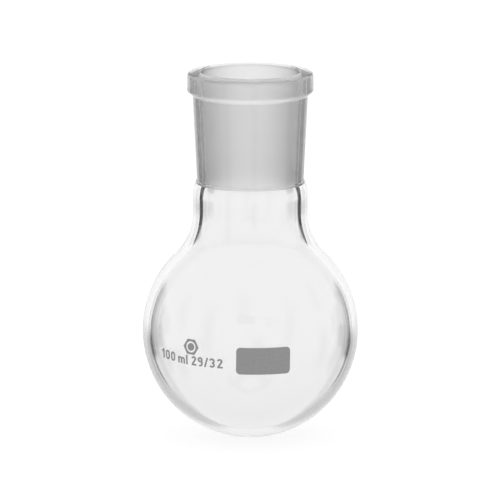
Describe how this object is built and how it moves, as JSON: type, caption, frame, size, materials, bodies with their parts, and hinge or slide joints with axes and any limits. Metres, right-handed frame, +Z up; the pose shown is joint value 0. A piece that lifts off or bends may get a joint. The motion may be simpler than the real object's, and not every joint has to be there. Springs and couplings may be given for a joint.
{
  "type": "round-bottom flask",
  "caption": "Clear glass round-bottom boiling flask with a short neck, a ground cone socket with a collar, and a grey writing panel on the bulb.",
  "frame": {"origin": "lowest point of the bulb, on the flask's axis", "axes": "+Z up along the flask's axis towards the mouth, -Y towards the writing panel's side, +X to the right of it"},
  "size_m": [0.064, 0.0641, 0.11],
  "materials": {
    "clear_glass": "fire-polished, clear",
    "ground_glass": "ground matt on the inner cone, clear outside",
    "grey_enamel": "matt fired enamel"
  },
  "bodies": {
    "root": {"flask_body": "clear_glass", "ground_socket": "ground_glass", "writing_panel": "grey_enamel", "ring_emblem": "grey_enamel", "capacity_mark": "grey_enamel", "joint_size_mark": "grey_enamel"}
  },
  "joints": []
}
